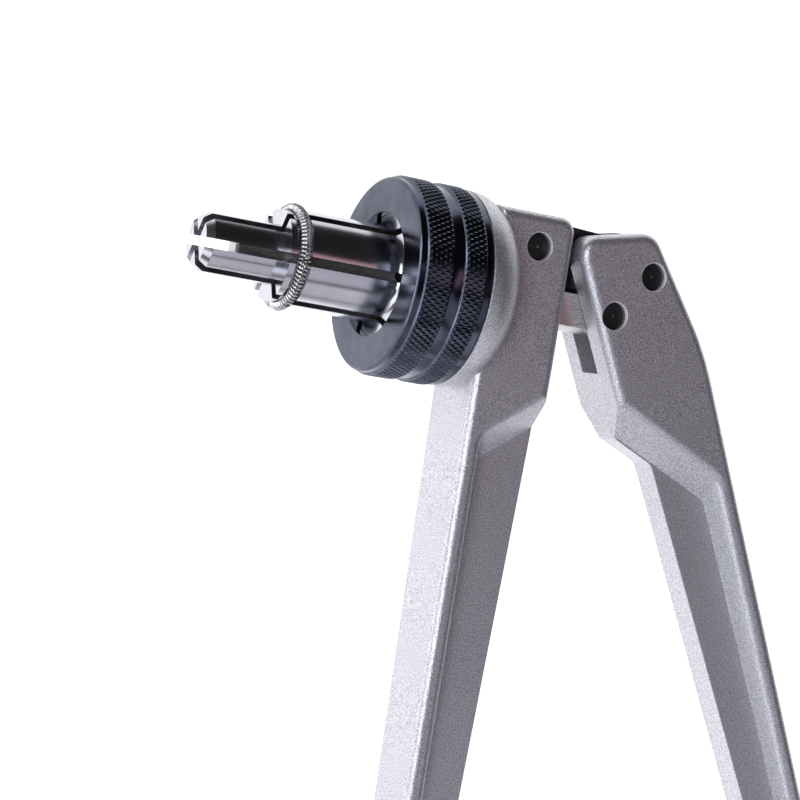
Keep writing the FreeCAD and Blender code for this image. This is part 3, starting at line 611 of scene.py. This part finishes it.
def black_oxide():
    """Black oxide on steel: near black, satin, with fine tool marks and grey rubbed spots."""
    finish = Finish("black_oxide", Metallic=0.6, Specular_IOR_Level=0.5)
    place = finish.place()
    marks = finish.noise(place, 1300, 3.0, 0.6)
    rubbed = finish.between(finish.noise(place, 210, 4.0, 0.6), 0.52, 0.72)
    colour = finish.mix(rubbed, grey(0.020, FAINT_BLUE), grey(0.07))
    roughness = 0.3 + 0.14 * marks - 0.06 * rubbed
    finish.feed(Base_Color=colour, Roughness=roughness, Normal=finish.bump(marks, 0.012, 0.5))
    return finish.material


def grip_rubber():
    """Moulded black rubber: matt, finely pebbled, with dusty high spots."""
    finish = Finish("grip_rubber_black", Specular_IOR_Level=0.4)
    place = finish.place()
    cells = {"Vector": place, "Scale": 900.0}
    pebble = finish.node("ShaderNodeTexVoronoi", {"feature": "SMOOTH_F1"}, cells)
    dust = finish.noise(place, 130, 4.0, 0.6)
    colour = finish.mix(finish.between(dust, 0.4, 0.75), grey(0.014), grey(0.035))
    roughness = 0.55 + 0.2 * dust
    finish.feed(Base_Color=colour, Roughness=roughness, Normal=finish.bump(1 - pebble, 0.12, 0.4))
    return finish.material


# Studio, in metres

FLOOR_HALF = 4.0
FLOOR_GAP = 0.0005              # between the floor and the lowest point of the tool
FLOOR_WHITE = 0.95
SURROUNDINGS = 0.02

LENS = 135.0                    # millimetres, on a sensor of 36
CAMERA_PLACE = (-0.2306188, -0.0294042, 0.5309242)
CAMERA_RIGHT = (0.88388, 0.1606, 0.43927)
CAMERA_BACK = (-0.4436, -0.00979, 0.89617)

LIGHT_TARGET = (0.05, -0.05, 0.0)
SOFT_BOXES = (                  # name, place, size, watts, colour
    ("left_strip", (-0.95, -0.05, 0.105), (1.2, 0.1), 2.7, (0.98, 0.98, 1.05)),
    ("left_high_box", (-0.6, -0.02, 0.8), (0.9, 0.3), 5.4, (0.97, 0.98, 1.05)),
    ("left_low_box", (-0.6, -0.7, 0.45), (0.6, 0.4), 1.45, (0.96, 0.97, 1.06)),
    ("low_box", (0.15, -0.95, 0.35), (1.5, 0.6), 1.9, (1.0, 0.98, 1.06)),
    ("right_box", (0.75, -0.65, 0.3), (0.6, 0.5), 0.6, (1.0, 0.98, 1.06)),
    ("front_low_card", (0.35, -0.5, 0.75), (0.9, 0.4), 0.75, (0.98, 0.97, 1.12)),
    ("warm_card", (0.42, 0.13, 0.85), (0.3, 0.14), 0.15, (1.0, 0.6, 0.7)),
)


def white_rays(shading):
    """1 for rays from the camera and those that metal or glass sends on, 0 for soft light."""
    kinds = ("Is Camera Ray", "Is Glossy Ray", "Is Transmission Ray")
    camera, glossy, through = [shading.node("ShaderNodeLightPath", output=kind) for kind in kinds]
    return camera.math("MAXIMUM", camera.math("MAXIMUM", camera, glossy), through)


def studio_floor(level):
    """Pale floor under the tool. It looks white, also in reflections, but takes shadows."""
    signs = ((-1, -1), (1, -1), (1, 1), (-1, 1))
    points = [(x * FLOOR_HALF, y * FLOOR_HALF, level) for x, y in signs]
    floor = add_object("studio_floor", points, [(0, 1, 2, 3)])
    finish = Finish("studio_white", Base_Color=grey(0.8), Roughness=0.9, Specular_IOR_Level=0.1,
                    Emission_Color=grey(1.0))
    finish.feed(Emission_Strength=FLOOR_WHITE * white_rays(finish))
    floor.data.materials.append(finish.material)


def studio_world(strength):
    """Even grey surroundings, white where the camera looks past the floor."""
    world = bpy.data.worlds.new("studio_world")
    bpy.context.scene.world = world
    world.use_nodes = True
    surroundings = Shading(world.node_tree, "Background", Color=grey(1.0))
    seen = surroundings.node("ShaderNodeLightPath", output="Is Camera Ray")
    levels = {"Value": seen, "To Min": strength, "To Max": 1.0}
    surroundings.feed(Strength=surroundings.node("ShaderNodeMapRange", sockets=levels))


def soft_light(name, place, size, watts, colour):
    """Rectangular soft box at a place, turned to the light target."""
    lamp = bpy.data.lights.new(name, "AREA")
    lamp.shape = "RECTANGLE"
    lamp.size, lamp.size_y = size
    lamp.energy = watts
    lamp.color = colour
    light = bpy.data.objects.new(name, lamp)
    aim = (Vector(LIGHT_TARGET) - Vector(place)).to_track_quat("-Z", "Y")
    light.matrix_world = Matrix.Translation(place) @ aim.to_matrix().to_4x4()
    bpy.context.scene.collection.objects.link(light)


def photo_camera():
    """The photograph's camera: a long lens a little to the left of square on.

    Its axes are made square: back loses its share along right, and up is back crossed with right.
    """
    lens = bpy.data.cameras.new("photo_camera")
    lens.lens = LENS
    lens.sensor_width = 36.0
    lens.clip_start = 0.01
    camera = bpy.data.objects.new("photo_camera", lens)
    right = Vector(CAMERA_RIGHT).normalized()
    back = Vector(CAMERA_BACK)
    back = (back - back.dot(right) * right).normalized()
    up = back.cross(right)
    turn = Matrix((right, up, back)).transposed().to_4x4()
    camera.matrix_world = Matrix.Translation(CAMERA_PLACE) @ turn
    bpy.context.scene.collection.objects.link(camera)
    bpy.context.scene.camera = camera


# Scene

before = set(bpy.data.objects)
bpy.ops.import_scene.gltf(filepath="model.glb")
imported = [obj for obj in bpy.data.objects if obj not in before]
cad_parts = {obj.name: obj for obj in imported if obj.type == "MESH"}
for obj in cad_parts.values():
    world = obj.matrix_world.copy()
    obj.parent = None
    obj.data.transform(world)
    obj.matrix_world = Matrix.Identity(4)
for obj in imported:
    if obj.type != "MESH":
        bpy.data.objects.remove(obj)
cad_box = [list(corner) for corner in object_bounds()]
photo_camera()

FINISHES = {
    "casting": cast_paint(),
    "black_collar": black_anodised(),
    "chrome_jaws": chrome(),
    "spring_steel": spring_wire(),
    "steel": ground_steel(),
    "bronze": bearing_bronze(),
    "black_steel": black_oxide(),
    "grip_rubber": grip_rubber(),
}

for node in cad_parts.values():
    for slot in node.material_slots:
        slot.material = FINISHES[slot.material.name]

knurled_collar().data.materials.append(FINISHES["black_collar"])
for number in range(1, JAW_COUNT + 1):
    spring_arc(number).data.materials.append(FINISHES["spring_steel"])
for grip in (
    ribbed_grip("front_grip_sleeve", "front_grip", "front_frame", GRIP_MIDDLE_FRONT,
                TANG_WIDTH_FRONT, 0.0, (0.0, 0.0)),
    ribbed_grip("rear_grip_sleeve", "rear_grip", "rear_lever", GRIP_MIDDLE_REAR,
                TANG_WIDTH_REAR, REAR_OPENING, REAR_PIVOT),
):
    grip.data.materials.append(FINISHES["grip_rubber"])

studio_floor(cad_box[0][2] - FLOOR_GAP)
studio_world(SURROUNDINGS)
for soft_box in SOFT_BOXES:
    soft_light(*soft_box)

scene = bpy.context.scene
scene.view_settings.view_transform = "Standard"
